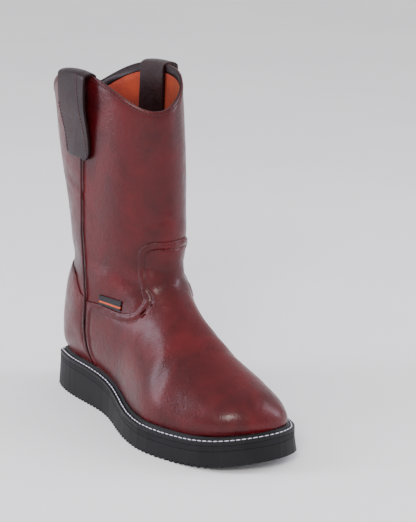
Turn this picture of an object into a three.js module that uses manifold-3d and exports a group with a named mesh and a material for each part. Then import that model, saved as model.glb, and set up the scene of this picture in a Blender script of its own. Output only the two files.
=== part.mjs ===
// Pull-on western work boot for the right foot, on a one-piece wedge sole with a storm welt.
// Millimetres, +Z up. The toe points to -Y and the outer side of the foot is -X.
import * as THREE from 'three';
import Module from 'manifold-3d';

const wasm = await Module();
wasm.setup();

// Sole
const SOLE_LENGTH = 308;
const BALL_WIDTH = 116.5;
const HEEL_WEDGE = 26.2;
const FORE_WEDGE = 13.7;
const TOE_SPRING = 11;
const SPRING_LENGTH = 83;
const HEEL_ROUND = 14;
const HEEL_LIFT = 3;
const WALL_FLARE = 2;
const MIDSOLE_THICKNESS = 5;
const WELT_THICKNESS = 3.2;
const WELT_REACH = 8;
const WELT_BEVEL = 0.6;
const LIP_WIDTH = 3.4;
const LIP_HEIGHT = 3;
const INSOLE_THICKNESS = 4;
const INSOLE_CLEARANCE = 1.3;
const TREAD_PITCH = 5.5;
const TREAD_GROOVE = 2.8;
const TREAD_DEPTH = 2;
const TOE_BUMPER = 28;

// Upper
const TOE_HEIGHT = 41;
const INSTEP_HEIGHT = 130;
const SHAFT_HEIGHT = 284;
const ANKLE_WIDTH = 84;
const COLLAR_WIDTH = 88;
const FRONT_DIP = 32;
const BACK_DIP = 40;
const UPPER_WALL = 2.6;
const LASTING_MARGIN = 11;
const OVERLAY_THICKNESS = 1.6;
const VAMP_HEIGHT = 105;
const TONGUE_TOP = 173;
const TONGUE_WIDTH = 54;
const TONGUE_CORNER = 11;
const COUNTER_HEIGHT = 131;
const SIDE_SEAM = 75;
const PIPING_WIDTH = 3;
const PIPING_HEIGHT = 2.2;

// Pull straps and side tag
const STRAP_WIDTH = 38.5;
const STRAP_THICKNESS = 3;
const STRAP_RISE = 4.6;
const STRAP_PLACE = 83.5;
const STRAP_LEAN = 6;
const STRAP_OUTER_LEG = 80;
const STRAP_INNER_LEG = 46;
const STRAP_STAND_OFF = 6.8;
const STRAP_INNER_GAP = 1;
const STRAP_TURN_STEPS = 8;
const STRAP_WIDTH_STEPS = 4;

// How far the strap's outer leg stands off, from its sewn foot up: down is the share of the leg
// below the collar, and off the share of the stand-off.
const STRAP_BULGE = [
  { down: 1, off: 0 },
  { down: 0.8, off: 0 },
  { down: 0.62, off: 0.3 },
  { down: 0.42, off: 0.8 },
  { down: 0.28, off: 1 },
];
const TAG_PLACE = 101.5;
const TAG_LENGTH = 29;
const TAG_HEIGHT = 9;
const TAG_THICKNESS = 1;

// Clearance between neighbouring pieces
const GAP = 0.3;

// Bottom outline of the sole. along is a share of the sole's length from the heel. outer and inner are
// the edges' distances from the axis, as shares of the ball width.
const OUTLINE = [
  { along: 0.026, outer: 0.192, inner: 0.211 },
  { along: 0.065, outer: 0.248, inner: 0.287 },
  { along: 0.13, outer: 0.29, inner: 0.33 },
  { along: 0.227, outer: 0.306, inner: 0.326 },
  { along: 0.325, outer: 0.314, inner: 0.298 },
  { along: 0.39, outer: 0.346, inner: 0.284 },
  { along: 0.455, outer: 0.404, inner: 0.3 },
  { along: 0.52, outer: 0.468, inner: 0.346 },
  { along: 0.584, outer: 0.51, inner: 0.408 },
  { along: 0.65, outer: 0.53, inner: 0.459 },
  { along: 0.714, outer: 0.509, inner: 0.494 },
  { along: 0.779, outer: 0.465, inner: 0.51 },
  { along: 0.844, outer: 0.415, inner: 0.498 },
  { along: 0.909, outer: 0.322, inner: 0.442 },
  { along: 0.948, outer: 0.215, inner: 0.373 },
  { along: 0.981, outer: 0.073, inner: 0.288 },
];
const TOE_TIP = 0.11;

// Top edge of the vamp's sides. along is a share of the sole's length and up of the vamp's height.
const VAMP_EDGE = [
  { along: 0.33, up: 1.003 },
  { along: 0.42, up: 0.991 },
  { along: 0.458, up: 1.008 },
  { along: 0.481, up: 1.036 },
  { along: 0.493, up: 1.09 },
  { along: 0.495, up: 1.16 },
];
const TONGUE_SHIFT = 0.045;

// Top edge of the heel counter. along is a share of the side seam's place, up of the counter's height.
const COUNTER_EDGE = [
  { along: 0.96, up: 0.833 },
  { along: 0.863, up: 0.902 },
  { along: 0.8, up: 0.962 },
  { along: 0.6, up: 0.99 },
  { along: 0.3, up: 1 },
  { along: -0.5, up: 1 },
];

// Side seam from the welt up. up is a share of the boot's height, forward a share of the seam's place.
const SEAM_LINE = [
  { up: 0.06, forward: 0 },
  { up: 0.12, forward: 0 },
  { up: 0.18, forward: -0.008 },
  { up: 0.23, forward: 0 },
  { up: 0.27, forward: 0.028 },
  { up: 0.34, forward: 0.08 },
  { up: 0.45, forward: 0.04 },
  { up: 0.53, forward: 0 },
  { up: 0.64, forward: 0.036 },
  { up: 0.76, forward: 0.095 },
];

// Sections of the foot from the toe tip to the heel. ridge and seat are where a section crosses the
// ridge line and meets the welt, as shares of the seat line's length from the heel. rise is the ridge's
// level: 0 to 1 climbs the toe box, 1 to 2 the instep and 2 to 3 the shaft. outer and inner are the
// bulge past the seat and lean the ridge's shift to the inner side, as shares of the ball width.
const FOOT_SECTIONS = [
  { ridge: 1, rise: 0, seat: 1, outer: 0, inner: 0, lean: 0.11, square: 2.15 },
  { ridge: 0.997, rise: 0.165, seat: 0.994, outer: 0.012, inner: 0, lean: 0.096, square: 2 },
  { ridge: 0.989, rise: 0.385, seat: 0.977, outer: 0.014, inner: 0, lean: 0.09, square: 1.95 },
  { ridge: 0.965, rise: 0.62, seat: 0.949, outer: 0.015, inner: 0, lean: 0.082, square: 1.9 },
  { ridge: 0.93, rise: 0.825, seat: 0.907, outer: 0.016, inner: 0, lean: 0.076, square: 1.85 },
  { ridge: 0.868, rise: 1, seat: 0.844, outer: 0.016, inner: 0, lean: 0.066, square: 1.85 },
  { ridge: 0.802, rise: 1.084, seat: 0.775, outer: 0.015, inner: 0, lean: 0.058, square: 1.87 },
  { ridge: 0.74, rise: 1.185, seat: 0.691, outer: 0.015, inner: 0, lean: 0.053, square: 1.9 },
  { ridge: 0.68, rise: 1.32, seat: 0.601, outer: 0.015, inner: 0.006, lean: 0.05, square: 2 },
  { ridge: 0.62, rise: 1.46, seat: 0.5, outer: 0.022, inner: 0.034, lean: 0.048, square: 2 },
  { ridge: 0.57, rise: 1.612, seat: 0.389, outer: 0.055, inner: 0.085, lean: 0.048, square: 2 },
];

// Sections fanned about the front of the ankle, from the heel's sides to its back. wide is the widest
// half width and swell the bulge behind the heel, as shares of the ankle width.
const HEEL_SECTIONS = [
  { ridge: 0.538, rise: 1.77, seat: 0.281, wide: 0.455, lean: 0.049, square: 2 },
  { ridge: 0.533, rise: 1.927, seat: 0.187, wide: 0.455, lean: 0.048, swell: 0.005, square: 2 },
  { ridge: 0.528, rise: 2.028, seat: 0.11, wide: 0.455, lean: 0.048, swell: 0.014, square: 2.05 },
  { ridge: 0.526, rise: 2.09, seat: 0.052, wide: 0.465, lean: 0.048, swell: 0.022, square: 2.1 },
  { ridge: 0.525, rise: 2.192, seat: 0, wide: 0.48, lean: 0.048, swell: 0.03, square: 2.15 },
];

// Closed sections round the ankle and shaft. backRise is the back's level as a share of the shaft
// height, backLean its shift to the inner side, and flare goes from the ankle's width to the collar's.
const SHAFT_SECTIONS = [
  {
    ridge: 0.525, rise: 2.263, back: -0.0172, backRise: 0.086,
    backLean: 0.012, wide: 0.485, flare: 0, lean: 0.047,
  },
  {
    ridge: 0.524, rise: 2.35, back: 0.0085, backRise: 0.2115,
    backLean: 0.026, wide: 0.495, flare: 0, lean: 0.044,
  },
  {
    ridge: 0.525, rise: 2.443, back: 0.033, backRise: 0.344,
    backLean: 0.034, wide: 0.5, flare: 0, lean: 0.04,
  },
  {
    ridge: 0.5265, rise: 2.548, back: 0.0216, backRise: 0.466,
    backLean: 0.03, wide: 0.5, flare: 0.15, lean: 0.034,
  },
  {
    ridge: 0.528, rise: 2.6656, back: 0.0042, backRise: 0.5986,
    backLean: 0.022, wide: 0.5, flare: 0.4, lean: 0.025,
  },
  {
    ridge: 0.529, rise: 2.808, back: -0.0184, backRise: 0.76,
    backLean: 0.012, wide: 0.5, flare: 0.7, lean: 0.014,
  },
  {
    ridge: 0.53, rise: 3, back: -0.0463, backRise: 1,
    backLean: 0, wide: 0.5, flare: 1, lean: 0,
  },
];
const SHAFT_SQUARE = 2.1;
const SWELL_POWER = 8;
const COLUMN_SETTLE = 3;
const SEARCH_STEPS = 40;
const SIDE_FRONT = 0.15;
const SIDE_BACK = 0.85;
const TURN_STEP = 0.02;
const SCALLOP_ROWS = 3;
const FRONT_SPREAD = Math.PI * 0.444;
const BACK_SPREAD = Math.PI * 0.517;
const SCALLOP_TURN = -0.26;

const FORE_STACK = FORE_WEDGE + MIDSOLE_THICKNESS + WELT_THICKNESS + 2 * GAP;
const HEEL_STACK = HEEL_WEDGE + MIDSOLE_THICKNESS + WELT_THICKNESS + 2 * GAP;
const SEAT_CLEARANCE = 5 * GAP;
const SEAT_DROP = WELT_THICKNESS + LIP_HEIGHT + SEAT_CLEARANCE;
const FEATHER_INSET = WALL_FLARE + WELT_REACH + GAP;
const SEAT_LENGTH = SOLE_LENGTH - 2 * FEATHER_INSET;
const WEDGE_HEEL_END = 0.195;
const WEDGE_FORE_END = 0.6;

const LINE_STEPS = 240;
const CURVE_STEPS = 480;
const SECTION_STEPS = 2;
const HALF_COLUMNS = 10;

// Height of the tread's line above the floor, at a distance from the back of the heel
function floorLine(along) {
  const toe = Math.max(0, along - (SOLE_LENGTH - SPRING_LENGTH)) / SPRING_LENGTH;
  const heel = Math.max(0, HEEL_ROUND - along) / HEEL_ROUND;
  return TOE_SPRING * toe ** 2 + HEEL_LIFT * heel ** 2;
}

// Height of the wedge's top
function wedgeTop(along) {
  const fall = THREE.MathUtils.smoothstep(along, WEDGE_HEEL_END * SOLE_LENGTH, WEDGE_FORE_END * SOLE_LENGTH);
  const toe = Math.max(0, along - (SOLE_LENGTH - SPRING_LENGTH)) / SPRING_LENGTH;
  return THREE.MathUtils.lerp(HEEL_WEDGE, FORE_WEDGE, fall) + TOE_SPRING * toe ** 2;
}

function midsoleTop(along) {
  return wedgeTop(along) + GAP + MIDSOLE_THICKNESS;
}

function featherLevel(along) {
  return midsoleTop(along) + GAP;
}

function seatLevel(along) {
  return featherLevel(along) + SEAT_DROP;
}

// Sole outline, as a closed curve from the heel along the inner side to the toe and back
const outlineCurve = new THREE.CatmullRomCurve3([
  new THREE.Vector3(0, 0, 0),
  ...OUTLINE.map((row) => new THREE.Vector3(row.inner * BALL_WIDTH, -row.along * SOLE_LENGTH, 0)),
  new THREE.Vector3(TOE_TIP * BALL_WIDTH, -SOLE_LENGTH, 0),
  ...OUTLINE.toReversed().map(
    (row) => new THREE.Vector3(-row.outer * BALL_WIDTH, -row.along * SOLE_LENGTH, 0),
  ),
], true, 'centripetal');

// One side of the outline from heel to toe: points evenly spaced along it, with the way in from each
function edgeLine(side) {
  const fine = [];
  for (let step = 0; step <= CURVE_STEPS; step += 1) {
    const half = 0.5 * step / CURVE_STEPS;
    const place = (side > 0 ? half : 1 - half) % 1;
    const tangent = outlineCurve.getTangent(place);
    fine.push({ point: outlineCurve.getPoint(place), inward: new THREE.Vector3(tangent.y, -tangent.x, 0) });
  }
  const lengths = [0];
  for (let step = 1; step <= CURVE_STEPS; step += 1) {
    lengths.push(lengths[step - 1] + fine[step].point.distanceTo(fine[step - 1].point));
  }
  const line = [];
  let step = 1;
  for (let index = 0; index <= LINE_STEPS; index += 1) {
    const wanted = lengths[CURVE_STEPS] * index / LINE_STEPS;
    while (step < CURVE_STEPS && lengths[step] < wanted) {
      step += 1;
    }
    const share = (wanted - lengths[step - 1]) / (lengths[step] - lengths[step - 1]);
    line.push({
      point: fine[step - 1].point.clone().lerp(fine[step].point, share),
      inward: fine[step - 1].inward.clone().lerp(fine[step].inward, share).normalize(),
    });
  }
  return line;
}

const edgeLines = { 1: edgeLine(1), '-1': edgeLine(-1) };

// One side of the outline moved in by an inset. side is 1 for inner, -1 for outer.
function sideLine(side, inset) {
  return edgeLines[side].map(({ point, inward }) => point.clone().addScaledVector(inward, inset));
}

const seatLines = { 1: sideLine(1, FEATHER_INSET), '-1': sideLine(-1, FEATHER_INSET) };
const marginLines = {
  1: sideLine(1, FEATHER_INSET + LASTING_MARGIN),
  '-1': sideLine(-1, FEATHER_INSET + LASTING_MARGIN),
};
const HEEL_SEAT = -seatLines[1][0].y;
const TOE_SEAT = -seatLines[1][LINE_STEPS].y;

// Where a seat line passes a distance from the heel, as a place along the line from 0 to 1
function seatPlace(side, along) {
  const line = seatLines[side];
  if (along <= HEEL_SEAT) {
    return 0;
  }
  if (along >= TOE_SEAT) {
    return 1;
  }
  let index = 1;
  while (-line[index].y < along) {
    index += 1;
  }
  const share = (along + line[index - 1].y) / (line[index - 1].y - line[index].y);
  return (index - 1 + share) / LINE_STEPS;
}

function pointOnLine(line, place) {
  const index = Math.min(LINE_STEPS - 1, Math.floor(place * LINE_STEPS));
  return line[index].clone().lerp(line[index + 1], place * LINE_STEPS - index);
}

// Smooth curve through a column of values, read at a place between rows
function between(values, place) {
  const index = Math.min(values.length - 2, Math.max(0, Math.floor(place)));
  const share = place - index;
  const start = values[index];
  const end = values[index + 1];
  const before = values[index - 1] ?? 2 * start - end;
  const after = values[index + 2] ?? 2 * end - start;
  const bend = 2 * before - 5 * start + 4 * end - after + share * (3 * (start - end) + after - before);
  return start + 0.5 * share * (end - before + share * bend);
}

const ridgeLevels = [
  seatLevel(TOE_SEAT),
  FORE_STACK + LIP_HEIGHT + TOE_HEIGHT,
  FORE_STACK + LIP_HEIGHT + INSTEP_HEIGHT,
  HEEL_STACK + LIP_HEIGHT + SHAFT_HEIGHT,
];

function ridgeLevel(rise) {
  const index = Math.min(2, Math.floor(rise));
  return THREE.MathUtils.lerp(ridgeLevels[index], ridgeLevels[index + 1], rise - index);
}

// Every section in millimetres: the ridge point, the end at the seat or the back, and the half widths
const sections = [...FOOT_SECTIONS, ...HEEL_SECTIONS, ...SHAFT_SECTIONS].map((row) => {
  const lean = (row.lean ?? 0) * BALL_WIDTH;
  const closed = row.back !== undefined;
  const end = HEEL_SEAT + (row.back ?? row.seat) * SEAT_LENGTH;
  const shaftHalf = THREE.MathUtils.lerp(row.wide * ANKLE_WIDTH, row.wide * COLLAR_WIDTH, row.flare ?? 0);
  const widest = (side) => {
    if (row.wide !== undefined) {
      return shaftHalf;
    }
    const seatHalf = Math.abs(pointOnLine(seatLines[side], seatPlace(side, end)).x - lean);
    return seatHalf + (side > 0 ? row.inner : row.outer) * BALL_WIDTH;
  };
  return {
    ridge: HEEL_SEAT + row.ridge * SEAT_LENGTH,
    ridgeLevel: ridgeLevel(row.rise),
    end,
    endLevel: closed ? HEEL_STACK + LIP_HEIGHT + row.backRise * SHAFT_HEIGHT : seatLevel(end),
    outer: widest(-1),
    inner: widest(1),
    lean,
    endLean: (row.backLean ?? (row.wide === undefined ? row.lean : 0)) * BALL_WIDTH,
    swell: (row.swell ?? 0) * ANKLE_WIDTH,
    square: row.square ?? SHAFT_SQUARE,
  };
});
const columns = Object.fromEntries(
  Object.keys(sections[0]).map((name) => [name, sections.map((row) => row[name])]),
);
const HEEL_ROW = FOOT_SECTIONS.length + HEEL_SECTIONS.length - 1;
const COLLAR_ROW = sections.length - 1;

function signedPower(value, power) {
  return Math.sign(value) * Math.abs(value) ** power;
}

// Drop of the collar's edge at an angle from the front, for the scallops at front and back
function scallop(angle) {
  const turned = Math.abs(angle - SCALLOP_TURN * Math.cos(angle / 2) ** 2);
  const front = Math.cos(Math.PI / 2 * Math.min(1, turned / FRONT_SPREAD)) ** 2;
  const back = Math.cos(Math.PI / 2 * Math.min(1, (Math.PI - Math.abs(angle)) / BACK_SPREAD)) ** 2;
  return FRONT_DIP * front + BACK_DIP * back;
}

// The upper's outside: row runs from the toe tip to the collar, and across from -1 on the outer side
// over the ridge at 0 to 1 on the inner side
function surface(row, across) {
  const side = across < 0 ? -1 : 1;
  const at = (name) => between(columns[name], row);
  const open = row < HEEL_ROW;
  const end = open ? Math.max(HEEL_SEAT, at('end')) : at('end');
  const endLevel = open ? seatLevel(end) : at('endLevel');
  const lean = at('lean');
  const half = Math.max(1e-6, side > 0 ? at('inner') : at('outer'));
  const endLean = at('endLean');
  const seatX = open ? pointOnLine(seatLines[side], seatPlace(side, end)).x : endLean;
  const square = at('square');
  const reach = Math.min(1, Math.max(0, side * (seatX - endLean) / half));
  const last = Math.PI - Math.asin(reach ** (square / 2));
  const settle = COLUMN_SETTLE * THREE.MathUtils.smoothstep(last / Math.PI, 0.6, 0.9);
  const place = Math.abs(across);
  const angle = place * (Math.PI - (Math.PI - last) * place ** settle);
  const width = half * Math.sin(angle) ** (2 / square);
  const spread = (turn) => 1 - signedPower(Math.cos(turn), 2 / square);
  const share = spread(angle) / spread(last);
  const low = share ** SWELL_POWER;
  const swell = 4 * at('swell') * low * (1 - low);
  const dip = THREE.MathUtils.smoothstep(row, COLLAR_ROW - SCALLOP_ROWS, COLLAR_ROW) * scallop(side * angle);
  return new THREE.Vector3(
    THREE.MathUtils.lerp(lean, endLean, share) + side * width,
    swell - THREE.MathUtils.lerp(at('ridge'), end, share),
    THREE.MathUtils.lerp(at('ridgeLevel'), endLevel, share) - dip,
  );
}

// Joins points that coincide, cuts each face across its shorter diagonal and drops what has collapsed
function weld(points, faces) {
  const found = new Map();
  const kept = [];
  const index = points.map((point) => {
    const key = point.toArray().map((value) => Math.round(value * 1000)).join();
    if (!found.has(key)) {
      found.set(key, kept.length);
      kept.push(point);
    }
    return found.get(key);
  });
  const triangles = [];
  for (const face of faces) {
    const corners = face.map((corner) => index[corner]);
    const [first, second, third, fourth] = face.map((corner) => points[corner]);
    if (fourth && second.distanceTo(fourth) < first.distanceTo(third)) {
      corners.push(corners.shift());
    }
    for (let step = 2; step < corners.length; step += 1) {
      const triangle = [corners[0], corners[step - 1], corners[step]];
      if (new Set(triangle).size === 3) {
        triangles.push(triangle);
      }
    }
  }
  return { points: kept, triangles };
}

// Gives a sheet two skins, low and high along its normals, and closes its open edges
function thicken(sheet, low, high) {
  const normals = sheet.points.map(() => new THREE.Vector3());
  const facing = sheet.triangles.map(([a, b, c]) => {
    const first = sheet.points[b].clone().sub(sheet.points[a]);
    return first.cross(sheet.points[c].clone().sub(sheet.points[a])).normalize();
  });
  sheet.triangles.forEach((triangle, index) => {
    triangle.forEach((corner, place) => {
      const next = sheet.points[triangle[(place + 1) % 3]].clone().sub(sheet.points[corner]);
      const last = sheet.points[triangle[(place + 2) % 3]].clone().sub(sheet.points[corner]);
      normals[corner].addScaledVector(facing[index], next.angleTo(last));
    });
  });
  normals.forEach((normal) => normal.normalize());
  const mitres = normals.map(() => 1);
  sheet.triangles.forEach((triangle, index) => {
    triangle.forEach((corner) => {
      mitres[corner] = Math.min(mitres[corner], Math.max(0.7, normals[corner].dot(facing[index])));
    });
  });
  const count = sheet.points.length;
  const shift = (point, index, distance) =>
    point.clone().addScaledVector(normals[index], distance / mitres[index]);
  const points = [
    ...sheet.points.map((point, index) => shift(point, index, high)),
    ...sheet.points.map((point, index) => shift(point, index, low)),
  ];
  const faces = [];
  const edges = new Set(sheet.triangles.flatMap(([a, b, c]) => [`${a},${b}`, `${b},${c}`, `${c},${a}`]));
  for (const [a, b, c] of sheet.triangles) {
    faces.push([a, b, c], [count + c, count + b, count + a]);
    for (const [from, to] of [[a, b], [b, c], [c, a]]) {
      if (!edges.has(`${to},${from}`)) {
        faces.push([to, from, count + from, count + to]);
      }
    }
  }
  return weld(points, faces);
}

// A closed mesh from points and faces, turned outward if it came out inside out
function geometryFrom({ points, triangles }) {
  const volume = triangles.reduce((sum, [a, b, c]) => (
    sum + points[a].dot(points[b].clone().cross(points[c]))
  ), 0);
  const turned = volume < 0 ? triangles.map(([a, b, c]) => [a, c, b]) : triangles;
  const geometry = new THREE.BufferGeometry();
  const values = points.flatMap((point) => point.toArray());
  geometry.setAttribute('position', new THREE.Float32BufferAttribute(values, 3));
  geometry.setIndex(turned.flat());
  return geometry;
}

function solidFrom(geometry) {
  const position = geometry.getAttribute('position');
  const points = [];
  for (let index = 0; index < position.count; index += 1) {
    points.push(new THREE.Vector3().fromBufferAttribute(position, index));
  }
  const order = geometry.index ? [...geometry.index.array] : points.map((point, index) => index);
  const faces = [];
  for (let index = 0; index < order.length; index += 3) {
    faces.push(order.slice(index, index + 3));
  }
  const joined = weld(points, faces);
  const vertProperties = new Float32Array(joined.points.flatMap((point) => point.toArray()));
  const triVerts = new Uint32Array(joined.triangles.flat());
  return new wasm.Manifold(new wasm.Mesh({ numProp: 3, vertProperties, triVerts }));
}

function geometryOf(solid) {
  const mesh = solid.getMesh();
  const geometry = new THREE.BufferGeometry();
  geometry.setAttribute('position', new THREE.BufferAttribute(mesh.vertProperties, 3));
  geometry.setIndex(new THREE.BufferAttribute(mesh.triVerts, 1));
  return geometry;
}

// A plate between loops stacked from bottom to top, closed by strips across from side to side
function plate(loops) {
  const count = loops[0].length;
  const faces = [];
  for (let level = 1; level < loops.length; level += 1) {
    for (let index = 0; index < count; index += 1) {
      const next = (index + 1) % count;
      const low = (level - 1) * count;
      faces.push([low + index, low + next, low + count + next, low + count + index]);
    }
  }
  const top = (loops.length - 1) * count;
  for (let index = 0; index < count / 2; index += 1) {
    const across = (count - index) % count;
    const strip = [index, index + 1, count - index - 1, across];
    faces.push(strip.toReversed(), strip.map((corner) => top + corner));
  }
  return geometryFrom(weld(loops.flat(), faces));
}

// A ring whose section is a closed chain of loops
function ring(loops) {
  const count = loops[0].length;
  const faces = [];
  loops.forEach((line, level) => {
    const here = level * count;
    const above = ((level + 1) % loops.length) * count;
    for (let index = 0; index < count; index += 1) {
      const next = (index + 1) % count;
      faces.push([here + index, here + next, above + next, above + index]);
    }
  });
  return geometryFrom(weld(loops.flat(), faces));
}

// A prism from an outline in the side view, (distance from the heel, level), running to the outer side,
// or in the front view, (x, level), running to the toe
function prism(outline, axis, low, high) {
  const shape = new THREE.Shape(outline.map(([across, up]) => new THREE.Vector2(across, up)));
  const geometry = new THREE.ExtrudeGeometry(shape, { depth: high - low, bevelEnabled: false });
  geometry.translate(0, 0, low);
  const level = new THREE.Vector3(0, 0, 1);
  const across = axis === 'x' ? new THREE.Vector3(0, -1, 0) : new THREE.Vector3(1, 0, 0);
  const depth = axis === 'x' ? new THREE.Vector3(-1, 0, 0) : new THREE.Vector3(0, -1, 0);
  geometry.applyMatrix4(new THREE.Matrix4().makeBasis(across, level, depth));
  return solidFrom(geometry);
}

const ROWS = COLLAR_ROW * SECTION_STEPS;
const SEAT_ROWS = HEEL_ROW * SECTION_STEPS;
const toeTip = seatLines[1].at(-1).clone().setZ(seatLevel(TOE_SEAT));

// Places along a side's lines where the upper's rows meet the seat, heel first
function seatPlaces(side) {
  const places = [];
  for (let row = 0; row <= SEAT_ROWS; row += 1) {
    const end = Math.max(HEEL_SEAT, between(columns.end, row / SECTION_STEPS));
    places.push(seatPlace(side, end));
  }
  return places.reverse();
}

// The whole outline as a loop, inner side first, at a level that follows the distance from the heel
function loop(inset, level) {
  const side = (sign) => {
    const line = sideLine(sign, inset);
    return seatPlaces(sign).map((place) => pointOnLine(line, place));
  };
  const points = [...side(1), ...side(-1).slice(1, -1).reverse()];
  return points.map((point) => new THREE.Vector3(point.x, point.y, level(-point.y)));
}

// Grid of the upper between two rows. With the margin it turns under at the seat, for lasting.
function upperSheet(firstRow, lastRow, withMargin) {
  const extra = withMargin ? 2 : 0;
  const width = 2 * (HALF_COLUMNS + extra) + 1;
  const points = [];
  const faces = [];
  for (let row = firstRow; row <= lastRow; row += 1) {
    const place = row / SECTION_STEPS;
    for (let column = -HALF_COLUMNS - extra; column <= HALF_COLUMNS + extra; column += 1) {
      const side = column < 0 ? -1 : 1;
      const across = Math.max(-1, Math.min(1, column / HALF_COLUMNS));
      const point = row > 0 ? surface(place, row >= SEAT_ROWS && across === -1 ? 1 : across) : toeTip.clone();
      const turned = Math.abs(column) - HALF_COLUMNS;
      if (turned > 0 && row <= SEAT_ROWS) {
        const line = turned > 1 ? marginLines[side] : seatLines[side];
        const under = pointOnLine(line, seatPlace(side, -point.y));
        point.set(under.x, under.y, featherLevel(-under.y));
      }
      points.push(point);
    }
  }
  for (let row = 0; row < lastRow - firstRow; row += 1) {
    for (let column = 0; column < width - 1; column += 1) {
      const inSkirt = column < extra || column >= width - 1 - extra;
      if (inSkirt && firstRow + row >= SEAT_ROWS) {
        continue;
      }
      const corner = row * width + column;
      faces.push([corner, corner + 1, corner + width + 1, corner + width]);
    }
  }
  return weld(points, faces);
}

function upper() {
  return geometryFrom(thicken(upperSheet(0, ROWS, true), 0, -UPPER_WALL));
}

const FULL_HEIGHT = HEEL_STACK + LIP_HEIGHT + SHAFT_HEIGHT;
const STRAP_FOOT = FULL_HEIGHT - STRAP_OUTER_LEG;
const FRONT_END = SOLE_LENGTH + LASTING_MARGIN;
const ALL_ACROSS = BALL_WIDTH;

// Solid layer over the upper's outside, kept only inside a cutter
function overlay(firstRow, lastRow, thickness, cutter) {
  const layer = thicken(upperSheet(firstRow, lastRow, false), GAP, GAP + thickness);
  return geometryOf(solidFrom(geometryFrom(layer)).intersect(cutter));
}

// The side seam up to a level, as points in the side view moved forward by an offset
function seamLine(offset, top) {
  const line = [];
  for (let step = 0; step < SEAM_LINE.length; step += 1) {
    const row = SEAM_LINE[step];
    const along = SIDE_SEAM * (1 + row.forward) + offset;
    const level = row.up * FULL_HEIGHT;
    if (level < top) {
      line.push([along, level]);
    } else {
      const [lastAlong, lastLevel] = line.at(-1);
      const share = (top - lastLevel) / (level - lastLevel);
      line.push([THREE.MathUtils.lerp(lastAlong, along, share), top]);
      break;
    }
  }
  return line;
}

// Vamp with its tongue up the instep
function vamp() {
  const sides = prism([
    ...seamLine(PIPING_WIDTH / 2 + GAP, VAMP_HEIGHT),
    ...VAMP_EDGE.map((row) => [row.along * SOLE_LENGTH, row.up * VAMP_HEIGHT]),
    [FRONT_END, VAMP_EDGE.at(-1).up * VAMP_HEIGHT],
    [FRONT_END, 0],
  ], 'x', -ALL_ACROSS, ALL_ACROSS);
  const half = TONGUE_WIDTH / 2;
  const middle = TONGUE_SHIFT * BALL_WIDTH;
  const corner = (side, turn) => [
    middle + side * (half - TONGUE_CORNER * (1 - Math.cos(turn))),
    TONGUE_TOP - TONGUE_CORNER * (1 - Math.sin(turn)),
  ];
  const turns = [0, 1, 2, 3, 4].map((step) => step * Math.PI / 8);
  const tongue = prism([
    [middle - half, VAMP_HEIGHT],
    [middle + half, VAMP_HEIGHT],
    ...turns.map((turn) => corner(1, turn)),
    ...turns.toReversed().map((turn) => corner(-1, turn)),
  ], 'y', SIDE_SEAM, FRONT_END);
  return overlay(0, (HEEL_ROW + 2) * SECTION_STEPS, OVERLAY_THICKNESS, sides.add(tongue));
}

function heelCounter() {
  const cutter = prism([
    ...seamLine(-PIPING_WIDTH / 2 - GAP, COUNTER_EDGE[0].up * COUNTER_HEIGHT - 2),
    ...COUNTER_EDGE.map((row) => [row.along * SIDE_SEAM, row.up * COUNTER_HEIGHT]),
    [COUNTER_EDGE.at(-1).along * SIDE_SEAM, 0],
  ], 'x', -ALL_ACROSS, ALL_ACROSS);
  const firstRow = (FOOT_SECTIONS.length - 2) * SECTION_STEPS;
  return overlay(firstRow, (HEEL_ROW + 4) * SECTION_STEPS, OVERLAY_THICKNESS, cutter);
}

// Raised piping down one side seam, from under the strap to the welt
function sidePiping(side) {
  const top = STRAP_FOOT - 4 * GAP;
  const cutter = prism([
    ...seamLine(-PIPING_WIDTH / 2, top).reverse(),
    ...seamLine(PIPING_WIDTH / 2, top),
  ], 'x', side < 0 ? 0 : -ALL_ACROSS, side < 0 ? ALL_ACROSS : 0);
  return overlay((FOOT_SECTIONS.length - 2) * SECTION_STEPS, ROWS, PIPING_HEIGHT, cutter);
}

function sideTag() {
  const low = VAMP_HEIGHT + 2 * GAP;
  const cutter = prism([
    [TAG_PLACE, low],
    [TAG_PLACE + TAG_LENGTH, low],
    [TAG_PLACE + TAG_LENGTH, low + TAG_HEIGHT],
    [TAG_PLACE, low + TAG_HEIGHT],
  ], 'x', 0, ALL_ACROSS);
  const first = (FOOT_SECTIONS.length - 4) * SECTION_STEPS;
  const last = (HEEL_ROW + 2) * SECTION_STEPS;
  return overlay(first, last, TAG_THICKNESS, cutter);
}

// Row of the shaft whose outside reaches a level, at a place across
function rowAtLevel(across, level) {
  let low = HEEL_ROW;
  let high = COLLAR_ROW;
  for (let step = 0; step < SEARCH_STEPS; step += 1) {
    const middle = (low + high) / 2;
    if (surface(middle, across).z < level) {
      low = middle;
    } else {
      high = middle;
    }
  }
  return low;
}

// Place across where a row lies at a distance from the heel, on one side
function acrossAt(side, row, along) {
  let front = SIDE_FRONT;
  let back = SIDE_BACK;
  for (let step = 0; step < SEARCH_STEPS; step += 1) {
    const middle = (front + back) / 2;
    if (-surface(row, side * middle).y > along) {
      front = middle;
    } else {
      back = middle;
    }
  }
  return side * front;
}

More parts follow.
